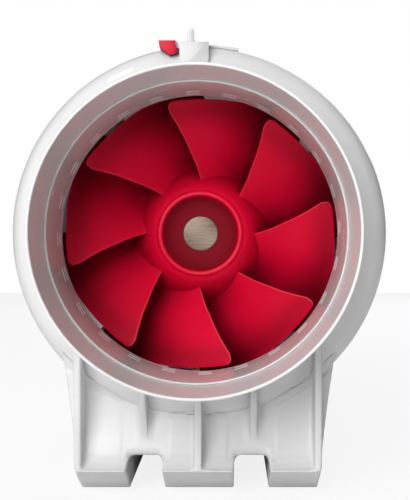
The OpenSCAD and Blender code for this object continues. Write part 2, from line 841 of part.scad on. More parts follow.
module gland_body() {
    color("dimgray") on_gland() difference() {
        union() {
            translate([0, 0, -7]) cylinder(r = 8, h = 7);
            cylinder(r = 11, h = 5, $fn = 6);
            cylinder(r = 8, h = 13);
        }
        translate([0, 0, -8]) cylinder(r = cable_r, h = 30);
        translate([0, 0, 7]) cylinder(r = 7, h = 10);
    }
}

module gland_seal() {
    color("black") on_gland() difference() {
        translate([0, 0, 7]) cylinder(r = 7, h = 7);
        cylinder(r = cable_r, h = 30);
    }
}

module gland_nut() {
    color("dimgray") on_gland() difference() {
        union() {
            translate([0, 0, 5.3]) cylinder(r = 10.6, h = 8, $fn = 6);
            translate([0, 0, 13.3]) cylinder(r1 = 9, r2 = 6.6, h = 6);
        }
        translate([0, 0, 5]) cylinder(r = 8, h = 9);
        cylinder(r = cable_r, h = 30);
    }
}

module gland_locknut() {
    color("dimgray") on_gland() difference() {
        translate([0, 0, -box_wall - 3.5]) cylinder(r = 10.5, h = 3.5, $fn = 6);
        translate([0, 0, -12]) cylinder(r = 8, h = 12);
    }
}

inlet_casing();
inlet_sleeve();
inlet_foam();
inlet_gasket();
inlet_screws();
centre_casing();
centre_foam();
impeller_shroud();
guide_vane_ring();
outlet_diffuser();
tail_cone();
outlet_casing();
outlet_sleeve();
outlet_foam();
outlet_gasket();
outlet_screws();
impeller();
hub_cap();
impeller_nut();
motor_shaft();
rotor_core();
front_bearing();
rear_bearing();
stator_core();
stator_windings();
motor_housing();
motor_front_shield();
motor_rear_cover();
motor_screws();
front_strap();
front_latch_block();
front_latch_lever();
front_latch_pin();
rear_strap();
rear_latch_block();
rear_latch_lever();
rear_latch_pin();
pedestal();
pedestal_screws();
terminal_box();
terminal_box_gasket();
terminal_box_lid();
terminal_box_screws();
terminal_block();
run_capacitor();
gland_body();
gland_seal();
gland_nut();
gland_locknut();
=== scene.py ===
import json
from math import acos, atan2, cos, exp, hypot, pi, radians, sin, sqrt, tan

import bmesh
import bpy
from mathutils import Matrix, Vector

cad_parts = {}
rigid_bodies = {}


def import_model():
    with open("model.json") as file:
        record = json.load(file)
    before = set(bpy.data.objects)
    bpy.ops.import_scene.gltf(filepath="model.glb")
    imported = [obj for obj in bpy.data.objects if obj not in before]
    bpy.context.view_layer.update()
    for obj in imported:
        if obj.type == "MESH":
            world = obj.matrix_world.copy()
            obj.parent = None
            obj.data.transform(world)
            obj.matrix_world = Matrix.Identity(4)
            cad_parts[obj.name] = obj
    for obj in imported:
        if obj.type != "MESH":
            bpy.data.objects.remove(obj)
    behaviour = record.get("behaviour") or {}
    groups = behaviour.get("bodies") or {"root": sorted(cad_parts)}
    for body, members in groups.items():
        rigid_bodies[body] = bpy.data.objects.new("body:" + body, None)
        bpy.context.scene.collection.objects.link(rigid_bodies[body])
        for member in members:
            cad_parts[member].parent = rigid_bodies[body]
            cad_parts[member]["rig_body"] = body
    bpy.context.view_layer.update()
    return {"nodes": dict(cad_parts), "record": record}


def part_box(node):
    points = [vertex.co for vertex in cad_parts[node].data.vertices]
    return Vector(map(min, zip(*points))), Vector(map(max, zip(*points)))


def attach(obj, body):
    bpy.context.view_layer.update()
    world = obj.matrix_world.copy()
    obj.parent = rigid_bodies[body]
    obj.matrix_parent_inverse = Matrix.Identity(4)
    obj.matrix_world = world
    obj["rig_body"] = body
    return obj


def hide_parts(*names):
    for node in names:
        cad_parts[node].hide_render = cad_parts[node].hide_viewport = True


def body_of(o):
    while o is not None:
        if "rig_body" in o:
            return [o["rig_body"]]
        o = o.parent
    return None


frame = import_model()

MM = 0.001

# ---- Places and sizes, read from the frame ----

RECORD = frame["record"]
MOUNTS = {m["name"]: m for m in RECORD["mounts"]}
SPIGOT_R = MOUNTS["inlet_spigot"]["dims"]["r_mm"] * MM
AXIS_H = MOUNTS["inlet_spigot"]["pos_m"][2]
CASING_LO, CASING_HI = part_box("inlet_casing")
RIM_Y = CASING_LO.y
JOINT_Y = CASING_HI.y
BODY_R = (CASING_HI.x - CASING_LO.x) / 2
SLEEVE_LO, SLEEVE_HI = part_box("inlet_sleeve")
IMP_LO, IMP_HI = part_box("impeller")
PED_LO, PED_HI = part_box("pedestal")
CAP_LO, CAP_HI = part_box("hub_cap")
SHAFT_LO, SHAFT_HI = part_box("motor_shaft")

# ---- Sizes shared by the casing, the sleeve and the pedestal ----

SLEEVE_R = SPIGOT_R - 7.6 * MM
WALL = 2.7 * MM
SHOULDER_END_Y = RIM_Y + 112 * MM
SHOULDER_TURN = radians(60)
COVE_R = 10 * MM
CROWN_R = 26 * MM

# ---- Angles, in degrees, above which an edge stays sharp ----

SHARP_SHELL = 35
SHARP_IMPELLER = 40
SHARP_CAD = 30


# ---- Mesh helpers ----

def add_mesh(name, verts, faces, smooth=True):
    mesh = bpy.data.meshes.new(name)
    mesh.from_pydata([tuple(v) for v in verts], [], faces)
    mesh.validate()
    mesh.update()
    obj = bpy.data.objects.new(name, mesh)
    bpy.context.scene.collection.objects.link(obj)
    if smooth:
        soften(obj)
    return obj


def smooth_faces(obj):
    for face in obj.data.polygons:
        face.use_smooth = True


def soften(obj, angle=SHARP_SHELL):
    """Smooth shading with sharp edges above an angle in degrees."""
    smooth_faces(obj)
    obj.data.set_sharp_from_angle(angle=radians(angle))


def fix_normals(obj):
    bm = bmesh.new()
    bm.from_mesh(obj.data)
    bmesh.ops.recalc_face_normals(bm, faces=bm.faces)
    bm.to_mesh(obj.data)
    bm.free()


def rounded(points, steps=6):
    """A closed outline with an arc at each corner. points are (u, v, radius)."""
    out = []
    count = len(points)
    for i, (u, v, radius) in enumerate(points):
        if radius <= 0:
            out.append((u, v))
            continue
        here = Vector((u, v))
        a = (Vector(points[i - 1][:2]) - here).normalized()
        b = (Vector(points[(i + 1) % count][:2]) - here).normalized()
        half = acos(max(-1, min(1, a.dot(b)))) / 2
        if abs(half - pi / 2) < 1e-4:
            out.append((u, v))
            continue
        reach = radius / tan(half)
        centre = here + (a + b).normalized() * (radius / sin(half))
        start = here + a * reach - centre
        end = here + b * reach - centre
        a0 = atan2(start.y, start.x)
        turn = (atan2(end.y, end.x) - a0 + pi) % (2 * pi) - pi
        for k in range(steps + 1):
            angle = a0 + turn * k / steps
            out.append((centre.x + radius * cos(angle), centre.y + radius * sin(angle)))
    return out


def lathe(name, outline, segments=192, start=0.0, end=360.0, mirror_y=False):
    """Turns a closed outline of (radius, y) about the fan axis.

    Angles are in degrees, clockwise from the top.
    """
    full = abs(end - start - 360) < 1e-6
    rings = segments if full else segments + 1
    verts = []
    for i in range(rings):
        a = radians(start + (end - start) * i / segments)
        for r, y in outline:
            verts.append((r * sin(a), -y if mirror_y else y, AXIS_H + r * cos(a)))
    n = len(outline)
    faces = []
    for i in range(segments):
        j = (i + 1) % rings
        for k in range(n):
            m = (k + 1) % n
            faces.append((i * n + k, i * n + m, j * n + m, j * n + k))
    if not full:
        faces.append(tuple(range(n)))
        faces.append(tuple(reversed([segments * n + k for k in range(n)])))
    obj = add_mesh(name, verts, faces, smooth=False)
    fix_normals(obj)
    soften(obj)
    return obj


def from_cad(name, node, bevel):
    """A new object from a CAD node's mesh.

    It is welded, its flat faces are merged and its edges are rounded by bevel.
    """
    weld_distance = 0.01 * MM
    flat_angle = radians(1)
    source = frame["nodes"][node]
    obj = bpy.data.objects.new(name, source.data.copy())
    bpy.context.scene.collection.objects.link(obj)
    obj.data.materials.clear()
    bm = bmesh.new()
    bm.from_mesh(obj.data)
    bmesh.ops.remove_doubles(bm, verts=bm.verts, dist=weld_distance)
    bmesh.ops.dissolve_limit(bm, angle_limit=flat_angle, verts=bm.verts, edges=bm.edges)
    bm.to_mesh(obj.data)
    bm.free()
    if bevel > 0:
        mod = obj.modifiers.new("round", "BEVEL")
        mod.width = bevel
        mod.segments = 3
        mod.limit_method = "ANGLE"
        mod.angle_limit = radians(SHARP_CAD)
        mod.miter_outer = "MITER_ARC"
    bake_modifiers(obj)
    soften(obj, SHARP_CAD)
    return obj


def bake_modifiers(obj):
    """Replaces an object's mesh with the result of its modifiers."""
    depsgraph = bpy.context.evaluated_depsgraph_get()
    mesh = bpy.data.meshes.new_from_object(obj.evaluated_get(depsgraph))
    obj.modifiers.clear()
    obj.data = mesh


def cut(obj, cutter):
    """Cuts one object with another, which is then removed."""
    mod = obj.modifiers.new("cut", "BOOLEAN")
    mod.operation = "DIFFERENCE"
    mod.solver = "EXACT"
    mod.object = cutter
    bake_modifiers(obj)
    bpy.data.objects.remove(cutter)
    soften(obj)


def join(name, objects):
    """Joins meshes into one new object."""
    bm = bmesh.new()
    for obj in objects:
        bm.from_mesh(obj.data)
        bpy.data.objects.remove(obj)
    mesh = bpy.data.meshes.new(name)
    bm.to_mesh(mesh)
    bm.free()
    joined = bpy.data.objects.new(name, mesh)
    bpy.context.scene.collection.objects.link(joined)
    return joined


def place(obj, body, slot, material, *nodes):
    """Gives a finished piece its body and its finish, and hides the CAD nodes it stands for."""
    obj.data.materials.clear()
    obj.data.materials.append(material)
    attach(obj, body)
    if nodes:
        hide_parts(*nodes)


# ---- Materials ----

def new_material(name):
    mat = bpy.data.materials.new(name)
    mat.use_nodes = True
    return mat, mat.node_tree, mat.node_tree.nodes["Principled BSDF"]


def noise(tree, scale, detail, roughness=0.5, stretch=None):
    """Noise in object coordinates, which stretch draws out into lines."""
    coords = tree.nodes.new("ShaderNodeTexCoord")
    tex = tree.nodes.new("ShaderNodeTexNoise")
    tex.inputs["Scale"].default_value = scale
    tex.inputs["Detail"].default_value = detail
    tex.inputs["Roughness"].default_value = roughness
    if stretch:
        mapping = tree.nodes.new("ShaderNodeMapping")
        mapping.inputs["Scale"].default_value = stretch
        tree.links.new(coords.outputs["Object"], mapping.inputs["Vector"])
        tree.links.new(mapping.outputs["Vector"], tex.inputs["Vector"])
    else:
        tree.links.new(coords.outputs["Object"], tex.inputs["Vector"])
    return tex.outputs["Fac"]


def ramp(tree, factor, stops):
    """A colour ramp. stops are (position, colour)."""
    node = tree.nodes.new("ShaderNodeValToRGB")
    tree.links.new(factor, node.inputs["Fac"])
    elements = node.color_ramp.elements
    while len(elements) < len(stops):
        elements.new(0.5)
    for element, (position, colour) in zip(elements, stops):
        element.position = position
        element.color = (*colour, 1)
    return node.outputs["Color"]


def grey(value):
    return (value, value, value)


def bump(tree, shader, height, strength, distance, after=None):
    node = tree.nodes.new("ShaderNodeBump")
    node.inputs["Strength"].default_value = strength
    node.inputs["Distance"].default_value = distance
    tree.links.new(height, node.inputs["Height"])
    if after is not None:
        tree.links.new(after, node.inputs["Normal"])
    tree.links.new(node.outputs["Normal"], shader.inputs["Normal"])
    return node.outputs["Normal"]


def whole_mix(tree, blend, base, second):
    """Combines two colours by a blend mode, at full strength."""
    mix = tree.nodes.new("ShaderNodeMix")
    mix.data_type = "RGBA"
    mix.blend_type = blend
    mix.inputs["Factor"].default_value = 1
    tree.links.new(base, mix.inputs["A"])
    tree.links.new(second, mix.inputs["B"])
    return mix.outputs["Result"]


def paint_gap_shade(tree, colour, reach, dark):
    """Paints shade into a colour in corners and gaps, wherever ambient occlusion finds them."""
    gaps = tree.nodes.new("ShaderNodeAmbientOcclusion")
    gaps.samples = 8
    gaps.inputs["Distance"].default_value = reach
    shade = ramp(tree, gaps.outputs["AO"], [(0.3, grey(dark)), (0.85, grey(1.0))])
    return whole_mix(tree, "MULTIPLY", colour, shade)


def inside_bowl(tree, colour, blend, inner, outer, near, far):
    """Blends a colour with one value inside a radius about the fan axis and another outside it."""
    coords = tree.nodes.new("ShaderNodeTexCoord")
    flat = tree.nodes.new("ShaderNodeMapping")
    flat.inputs["Location"].default_value = (0, 0, -AXIS_H)
    flat.inputs["Scale"].default_value = (1, 0, 1)
    radius = tree.nodes.new("ShaderNodeVectorMath")
    radius.operation = "LENGTH"
    share = tree.nodes.new("ShaderNodeMapRange")
    share.inputs["From Min"].default_value = inner
    share.inputs["From Max"].default_value = outer
    share.inputs["To Min"].default_value = near
    share.inputs["To Max"].default_value = far
    tree.links.new(coords.outputs["Object"], flat.inputs["Vector"])
    tree.links.new(flat.outputs["Vector"], radius.inputs[0])
    tree.links.new(radius.outputs["Value"], share.inputs["Value"])
    return whole_mix(tree, blend, colour, share.outputs["Result"])


CLOUD_SCALE = 14
SMEAR_SCALE = 35
SINK_SCALE = 9
GRAIN_SCALE = 900
SINK_DEPTH = 1.0 * MM
GRAIN_DEPTH = 0.05 * MM
BOWL_ROUGHER = 0.45


def moulded(name, low, high, rough=(0.25, 0.4), grain_strength=0.12, coat=0.0, specular=0.5,
            gap_shade=None, bowl=None):
    """Moulded plastic: cloudy colour, uneven gloss, slight sink marks and a fine moulded grain.

    The gap shade argument is the reach and darkness of the shade painted into gaps. The bowl
    argument is the two radii where the hub's bowl begins, and how dark the shade painted in it is.
    """
    mat, tree, shader = new_material(name)
    colour = ramp(tree, noise(tree, CLOUD_SCALE, 5), [(0.3, low), (0.7, high)])
    # painted shade: the colour darkens in gaps and corners
    if gap_shade:
        colour = paint_gap_shade(tree, colour, *gap_shade)
    # painted shade: the colour darkens inside the hub's bowl
    if bowl:
        colour = inside_bowl(tree, colour, "MULTIPLY", *bowl, 1)
    tree.links.new(colour, shader.inputs["Base Color"])
    smears = noise(tree, SMEAR_SCALE, 6, 0.6)
    gloss = ramp(tree, smears, [(0.3, grey(rough[0])), (0.75, grey(rough[1]))])
    if bowl:
        gloss = inside_bowl(tree, gloss, "ADD", *bowl[:2], BOWL_ROUGHER, 0)
    tree.links.new(gloss, shader.inputs["Roughness"])
    sinks = bump(tree, shader, noise(tree, SINK_SCALE, 0), 0.02, SINK_DEPTH)
    bump(tree, shader, noise(tree, GRAIN_SCALE, 3), grain_strength, GRAIN_DEPTH, sinks)
    shader.inputs["Specular IOR Level"].default_value = specular
    shader.inputs["Coat Weight"].default_value = coat
    shader.inputs["Coat Roughness"].default_value = 0.15
    return mat


def metal(name, low, high, rough=(0.25, 0.45), stretch=(6, 6, 160), scale=12):
    """Metal with fine lines drawn along one direction."""
    mat, tree, shader = new_material(name)
    shader.inputs["Metallic"].default_value = 1
    lines = noise(tree, scale, 6, 0.7, stretch)
    colour = ramp(tree, lines, [(0.35, low), (0.65, high)])
    gloss = ramp(tree, lines, [(0.3, grey(rough[0])), (0.7, grey(rough[1]))])
    tree.links.new(colour, shader.inputs["Base Color"])
    tree.links.new(gloss, shader.inputs["Roughness"])
    bump(tree, shader, lines, 0.15, GRAIN_DEPTH)
    return mat


def foam_material():
    """Open foam: dark cells with pits between them."""
    cell_scale = 420
    mat, tree, shader = new_material("acoustic_foam")
    coords = tree.nodes.new("ShaderNodeTexCoord")
    cells = tree.nodes.new("ShaderNodeTexVoronoi")
    cells.inputs["Scale"].default_value = cell_scale
    tree.links.new(coords.outputs["Object"], cells.inputs["Vector"])
    colour = ramp(tree, cells.outputs["Distance"], [(0.1, grey(0.035)), (0.7, grey(0.16))])
    tree.links.new(colour, shader.inputs["Base Color"])
    shader.inputs["Roughness"].default_value = 0.95
    bump(tree, shader, cells.outputs["Distance"], 0.8, 0.6 * MM)
    return mat


WHITE = moulded("white_gloss", grey(0.62), grey(0.66), (0.29, 0.35), coat=0.15)
PED_WHITE = moulded("white_satin", grey(0.61), grey(0.64), (0.32, 0.48), grain_strength=0.2)
SLEEVE_WHITE = moulded("sleeve_white", (0.53, 0.535, 0.53), (0.59, 0.595, 0.59), (0.18, 0.3),
                       coat=0.3)
LATCH_WHITE = moulded("latch_white", grey(0.46), grey(0.52), (0.25, 0.38), coat=0.15)
DUCT_WHITE = moulded("duct_white", grey(0.55), grey(0.62), (0.35, 0.5))
STRAP_GREY = moulded("strap_grey", (0.58, 0.58, 0.59), (0.66, 0.66, 0.67), (0.35, 0.5))
# the red gets painted shade between the blades and inside the hub's bowl
RED = moulded("red_satin", (0.54, 0.001, 0.022), (0.62, 0.002, 0.030), (0.32, 0.42),
              grain_strength=0.15, specular=0.16, gap_shade=(45 * MM, 0.10),
              bowl=(29 * MM, 33.5 * MM, 0.30))
DARK_NYLON = moulded("dark_nylon", (0.035, 0.035, 0.04), (0.06, 0.06, 0.065), (0.45, 0.6))
BLOCK_NYLON = moulded("block_nylon", (0.62, 0.61, 0.56), (0.72, 0.71, 0.66), (0.4, 0.55))
CAN_PLASTIC = moulded("can_plastic", (0.66, 0.66, 0.64), (0.74, 0.74, 0.72), (0.3, 0.4))
RUBBER = moulded("black_rubber", grey(0.012), grey(0.03), (0.6, 0.8), specular=0.3)
STEEL = metal("zinc_steel", (0.45, 0.45, 0.46), (0.66, 0.66, 0.67))
CAP_METAL = metal("brushed_cap", (0.08, 0.060, 0.046), (0.16, 0.125, 0.10), (0.32, 0.5),
                  (5, 5, 110), 14)
BEARING = metal("bearing_steel", (0.5, 0.51, 0.53), (0.68, 0.69, 0.7), (0.12, 0.25), (20, 20, 20))
LAMINATION = metal("laminations", (0.12, 0.13, 0.15), (0.28, 0.29, 0.31), (0.35, 0.6), (1, 90, 1))
COPPER = metal("copper_wire", (0.42, 0.15, 0.06), (0.72, 0.33, 0.15), (0.25, 0.4), (40, 8, 40))
ALLOY = metal("cast_alloy", (0.42, 0.43, 0.44), (0.58, 0.59, 0.6), (0.4, 0.6), (30, 30, 30))
FOAM = foam_material()

SLOT_MATERIAL = {
    "white_gloss": WHITE, "white_satin": PED_WHITE, "sleeve_plastic": SLEEVE_WHITE,
    "duct_plastic": DUCT_WHITE, "foam": FOAM, "rubber": RUBBER, "steel": STEEL, "red_gloss": RED,
    "cap_metal": CAP_METAL, "lamination": LAMINATION, "bearing_steel": BEARING, "copper": COPPER,
    "cast_alloy": ALLOY, "strap_plastic": STRAP_GREY, "terminal_plastic": BLOCK_NYLON,
    "capacitor_can": CAN_PLASTIC, "gland_plastic": DARK_NYLON,
}
SLOT_OF = {part["node"]: part["material_slot"] for part in RECORD["subparts"]}

for name, slot in SLOT_OF.items():
    node = frame["nodes"][name]
    node.data.materials.clear()
    node.data.materials.append(SLOT_MATERIAL[slot])
    soften(node, SHARP_CAD)


# ---- Casings ----

STEP_Y = SLEEVE_LO.y + 4.5 * MM
BORE_TAPER = 3.2 * MM
BORE_R = SPIGOT_R - WALL
FLANGE_DEPTH = 15 * MM
FLANGE_T = 4 * MM
GRIP_R = BODY_R - 12 * MM
GRIP_HALF_WIDTH = 1.5 * MM
GRIP_TOP_Y = RIM_Y + 70 * MM
GRIP_FLOOR_Y = RIM_Y + 91.2 * MM
GRIP_ANGLES = (22, 31)
ENDS = {"inlet": False, "outlet": True}


def shoulder_corners():
    """The two corners of the shoulder's outline, at the spigot and at the body."""
    crown_y = SHOULDER_END_Y - CROWN_R * tan(SHOULDER_TURN / 2)
    cove_y = crown_y - (BODY_R - SPIGOT_R) / tan(SHOULDER_TURN)
    return cove_y, crown_y


def end_casing(name, mirror_y):
    """A casing end: spigot, rounded shoulder and the flange of the joint.

    The spigot's bore tapers towards the step on which the sleeve's lip sits.
    """
    cove_y, crown_y = shoulder_corners()
    shift = WALL * tan(SHOULDER_TURN / 2)
    rim = WALL * 0.49
    flange_r = BODY_R - FLANGE_DEPTH
    flange_y = JOINT_Y - FLANGE_T
    outline = rounded([
        (SPIGOT_R, RIM_Y, rim),
        (SPIGOT_R, cove_y, COVE_R),
        (BODY_R, crown_y, CROWN_R),
        (BODY_R, JOINT_Y, 0.6 * MM),
        (flange_r, JOINT_Y, 0.4 * MM),
        (flange_r, flange_y, 0.4 * MM),
        (BODY_R - WALL, flange_y, 0.3 * MM),
        (BODY_R - WALL, crown_y + shift, CROWN_R - WALL),
        (BORE_R, cove_y + shift, COVE_R + WALL),
        (BORE_R, STEP_Y - 1.0 * MM, 0),
        (BORE_R - BORE_TAPER, STEP_Y - 1.4 * MM, 0.3 * MM),
        (BORE_R, RIM_Y + 3 * MM, 20 * MM),
        (BORE_R, RIM_Y, rim),
    ], steps=12)
    return lathe(name, outline, 256, mirror_y=mirror_y)


def grip_recess(mirror_y):
    """A cutter for the shallow curved slot on the shoulder's upper left, seen from its own end."""
    near, far = GRIP_ANGLES
    start, end = (near, far) if mirror_y else (-far, -near)
    inner, outer = GRIP_R - GRIP_HALF_WIDTH, GRIP_R + GRIP_HALF_WIDTH
    outline = [(inner, GRIP_TOP_Y), (outer, GRIP_TOP_Y),
               (outer, GRIP_FLOOR_Y), (inner, GRIP_FLOOR_Y)]
    return lathe("recess", outline, 24, start, end, mirror_y)


for end, mirrored in ENDS.items():
    shell = end_casing(end + "_casing_shell", mirrored)
    cut(shell, grip_recess(mirrored))
    place(shell, "body", "white_gloss", WHITE, end + "_casing")


# ---- Sleeves ----

LIP_R = BORE_R - 0.1 * MM
BEAD_R = 1.1 * MM
BEAD_ARC = 0.85 * pi
SLEEVE_T = 2.4 * MM
SLOTS = 24
SLOT_TURN = -2.5
SLOT_LENGTH = 10.8 * MM
SLOT_WIDTH = 2.2 * MM
SLOT_ROWS = (RIM_Y + 92 * MM, RIM_Y + 103 * MM)
ARC_STEPS = 12


def slot_cutter(angle, y):
    """A slot with round ends and a wide chamfer on the air side."""
    verts, faces = [], []
    # depth from the sleeve's bore, and how far the outline is grown there
    levels = [(-1.5 * MM, 1.5 * MM), (0, 1.3 * MM), (1.0 * MM, 0), (7 * MM, 0)]
    end_growth = 0.6
    count = 24
    for depth, grow in levels:
        for i in range(count):
            a = 2 * pi * i / count
            end = 1 if cos(a) >= 0 else -1
            reach = SLOT_WIDTH / 2 + grow * end_growth
            along = end * (SLOT_LENGTH - SLOT_WIDTH) / 2 + reach * cos(a)
            across = (SLOT_WIDTH / 2 + grow) * sin(a)
            turn = radians(angle) + along / SLEEVE_R
            r = SLEEVE_R + depth
            verts.append((r * sin(turn), y + across, AXIS_H + r * cos(turn)))
    for level in range(len(levels) - 1):
        here, above = level * count, (level + 1) * count
        for i in range(count):
            j = (i + 1) % count
            faces.append((here + i, here + j, above + j, above + i))
    faces.append(tuple(range(count)))
    faces.append(tuple(reversed(range((len(levels) - 1) * count, len(levels) * count))))
    return verts, faces


def end_sleeve(name, mirror_y):
    """The perforated inner sleeve, with a coved lip at the step and a bead inside it."""
    bead_r = SLEEVE_R + BEAD_R
    cove_r = bead_r + BEAD_R
    cove = LIP_R - cove_r
    lip_depth = STEP_Y - SLEEVE_LO.y
    bead_turns = [pi - BEAD_ARC * i / ARC_STEPS for i in range(ARC_STEPS + 1)]
    lip_turns = [pi / 2 * (i / ARC_STEPS - 1) for i in range(1, ARC_STEPS + 1)]
    bead = [(bead_r + BEAD_R * cos(a), STEP_Y + 0.4 * MM - BEAD_R * sin(a)) for a in bead_turns]
    lip = [(cove_r + cove * cos(a), STEP_Y - lip_depth * (1 + sin(a))) for a in lip_turns]
    back = [
        (LIP_R, STEP_Y + 5 * MM),
        (SLEEVE_R + SLEEVE_T, STEP_Y + 8 * MM),
        (SLEEVE_R + SLEEVE_T, SLEEVE_HI.y - 0.3 * MM),
        (SLEEVE_R + SLEEVE_T - 0.3 * MM, SLEEVE_HI.y),
        (SLEEVE_R + 0.5 * MM, SLEEVE_HI.y),
        (SLEEVE_R, SLEEVE_HI.y - 0.5 * MM),
    ]
    sleeve = lathe(name, bead + lip + back, 240, mirror_y=mirror_y)
    verts, faces = [], []
    for y in SLOT_ROWS:
        for i in range(SLOTS):
            more_verts, more_faces = slot_cutter(SLOT_TURN + 360 * i / SLOTS, y)
            faces += [tuple(len(verts) + k for k in face) for face in more_faces]
            verts += [(v[0], -v[1], v[2]) if mirror_y else v for v in more_verts]
    cutter = add_mesh("slots", verts, faces)
    fix_normals(cutter)
    cut(sleeve, cutter)
    return sleeve


for end, mirrored in ENDS.items():
    sleeve = end_sleeve(end + "_sleeve_moulding", mirrored)
    place(sleeve, "body", "sleeve_plastic", SLEEVE_WHITE, end + "_sleeve")


# ---- Impeller ----

BLADES = 8
FIRST_BLADE = 29
BLADE_T = 3.2 * MM
BLADE_SWEEP = 16
BLADE_WRAP = 60
BLADE_CORNER = 10 * MM
BLADE_CHORD = 90 * MM
BLADE_SPAN = 66 * MM
ROOT_SINK = 1.6 * MM
ROOT_FILLET = 2.2 * MM
ROOT_REACH = 3.2 * MM
TIP_GAP = 2.6 * MM
HUB_BACK_Y = IMP_HI.y
HUB_NOSE_Y = HUB_BACK_Y - 69 * MM
HUB_FLOOR_Y = CAP_LO.y
CAP_R = (CAP_HI.x - CAP_LO.x) / 2
SHAFT_R = (SHAFT_HI.x - SHAFT_LO.x) / 2
HUB_FRONT_R = 36 * MM
HUB_BACK_R = 72 * MM
HUB_SWELL = 0.62
HUB_WALL = 3 * MM
LIP_CREST_R = 2.4 * MM
BOSS_R = 14 * MM
BOSS_WEB_R = 55.5 * MM
THROAT_R = SLEEVE_R + 0.6 * MM
FLARE = 20.5 * MM
FLARE_START_Y = IMP_LO.y - 1 * MM
FLARE_LENGTH = 84 * MM


def smoothstep(t):
    t = min(1, max(0, t))
    return t * t * (3 - 2 * t)


def duct_r(y):
    """Inside radius of the flow duct where the impeller turns."""
    return THROAT_R + FLARE * smoothstep((y - FLARE_START_Y) / FLARE_LENGTH)


def hub_r(y):
    """Outside radius of the impeller's hub."""
    share = max(0, (y - HUB_NOSE_Y) / (HUB_BACK_Y - HUB_NOSE_Y))
    return HUB_FRONT_R + (HUB_BACK_R - HUB_FRONT_R) * share ** HUB_SWELL


def dense_ends(count, near):
    """Shares from 0 to 1, packed close together at both ends."""
    middle = [near[-1] + (1 - 2 * near[-1]) * i / count for i in range(1, count)]
    return near + middle + [1 - t for t in reversed(near)]


def blade_place(u, v):
    """Middle surface of a blade, as clockwise angle, radius and y.

    u runs from the leading edge to the trailing edge, and v from the hub to the tip.
    """
    lead_y = HUB_FLOOR_Y + (IMP_LO.y - HUB_FLOOR_Y) * v
    trail_y = HUB_BACK_Y - (4 + 6 * v) * MM
    y = lead_y + (trail_y - lead_y) * u
    r = (hub_r(y) - ROOT_SINK) * (1 - v) + (duct_r(y) - TIP_GAP) * v
    near_tip = max(0, BLADE_CORNER - (1 - v) * (THROAT_R - HUB_FRONT_R))
    round_off = (BLADE_CORNER - sqrt(BLADE_CORNER ** 2 - near_tip ** 2)) / THROAT_R
    wrap = BLADE_WRAP * (1.35 * u - 0.35 * u * u)
    angle = radians(BLADE_SWEEP * (1 - v) + wrap) + round_off * (1 - u)
    return angle, r, y


def blade_thickness(u, v):
    """Half thickness of a blade: rounded at its free edges and flared into the hub."""
    half = BLADE_T / 2 * (1 - 0.4 * v)
    edge = 1.0
    for distance in (u * BLADE_CHORD, (1 - u) * BLADE_CHORD, (1 - v) * BLADE_SPAN):
        if distance < half:
            edge *= sqrt(max(0, 1 - (1 - distance / half) ** 2))
    root_fillet = ROOT_FILLET * exp(-v * BLADE_SPAN / ROOT_REACH)
    return half * edge + root_fillet * min(1, edge)


def blade(first):
    """One blade as two skins that meet at the edges, with close rows where it curves most."""
    us = dense_ends(26, [0, 0.0015, 0.004, 0.008, 0.013, 0.02])
    vs = [0, 0.02, 0.04, 0.06, 0.09, 0.13] + [0.13 + 0.83 * i / 14 for i in range(1, 15)]
    vs += [0.972, 0.982, 0.99, 0.9965, 1]
    verts, faces = [], []
    for side in (-1, 1):
        for u in us:
            for v in vs:
                a, r, y = blade_place(u, v)
                a += first
                y += BLADE_T / 2 + side * blade_thickness(u, v)
                verts.append((r * sin(a), y, AXIS_H + r * cos(a)))
    nu, nv = len(us), len(vs)
    skin = nu * nv
    for i in range(nu - 1):
        for j in range(nv - 1):
            p = i * nv + j
            q = skin + p
            faces.append((p, p + nv, p + nv + 1, p + 1))
            faces.append((q, q + 1, q + nv + 1, q + nv))
        p = i * nv
        faces.append((p, p + skin, p + nv + skin, p + nv))
    return add_mesh("blade", verts, faces)


def weld(obj):
    """Joins the two skins of a blade along its edges."""
    distance = 0.004 * MM
    bm = bmesh.new()
    bm.from_mesh(obj.data)
    bmesh.ops.remove_doubles(bm, verts=bm.verts, dist=distance)
    bmesh.ops.recalc_face_normals(bm, faces=bm.faces)
    bm.to_mesh(obj.data)
    bm.free()
    soften(obj, SHARP_IMPELLER)


def hub():
    """The impeller's hub: a flared cone with a rounded double lip around a bowl."""
    lip_y = HUB_NOSE_Y + 0.4 * MM
    lip_r = HUB_FRONT_R - 1.4 * MM
    bowl_r = lip_r - 3.4 * MM
    bowl_floor_r = CAP_R + 1.2 * MM
    seat_r = CAP_R + 0.05 * MM
    nut_room_r = 11 * MM
    cone_ys = [lip_y + (HUB_BACK_Y - lip_y) * (i / 40) ** 1.4 for i in range(1, 41)]
    crest_turns = [pi - pi * i / 14 for i in range(1, 14)]
    bowl_turns = [pi / 2 * (1 - i / 14) for i in range(14)]
    cone = [(hub_r(y), y) for y in cone_ys]
    inside = [(r - HUB_WALL, y) for r, y in reversed(cone) if y > lip_y + 8 * MM]
    crest = [(lip_r + LIP_CREST_R * cos(a), lip_y - LIP_CREST_R * sin(a)) for a in crest_turns]
    step = [(bowl_r, lip_y + 0.6 * MM), (bowl_r + 0.6 * MM, lip_y + 0.9 * MM)]
    bowl = [(bowl_floor_r + (bowl_r - bowl_floor_r) * cos(a),
             lip_y + (HUB_FLOOR_Y - lip_y) * sin(a)) for a in bowl_turns]
    seat = [
        (HUB_FRONT_R, lip_y + 5.6 * MM),
        (30 * MM, HUB_FLOOR_Y + 2.5 * MM),
        (nut_room_r, HUB_FLOOR_Y + 4 * MM),
        (nut_room_r, HUB_FLOOR_Y + 1.4 * MM),
        (seat_r, HUB_FLOOR_Y + 1.4 * MM),
        (seat_r, HUB_FLOOR_Y + 0.3 * MM),
        (CAP_R + 0.35 * MM, HUB_FLOOR_Y),
    ]
    return lathe("hub", cone + inside + seat + bowl + step + crest, 160)


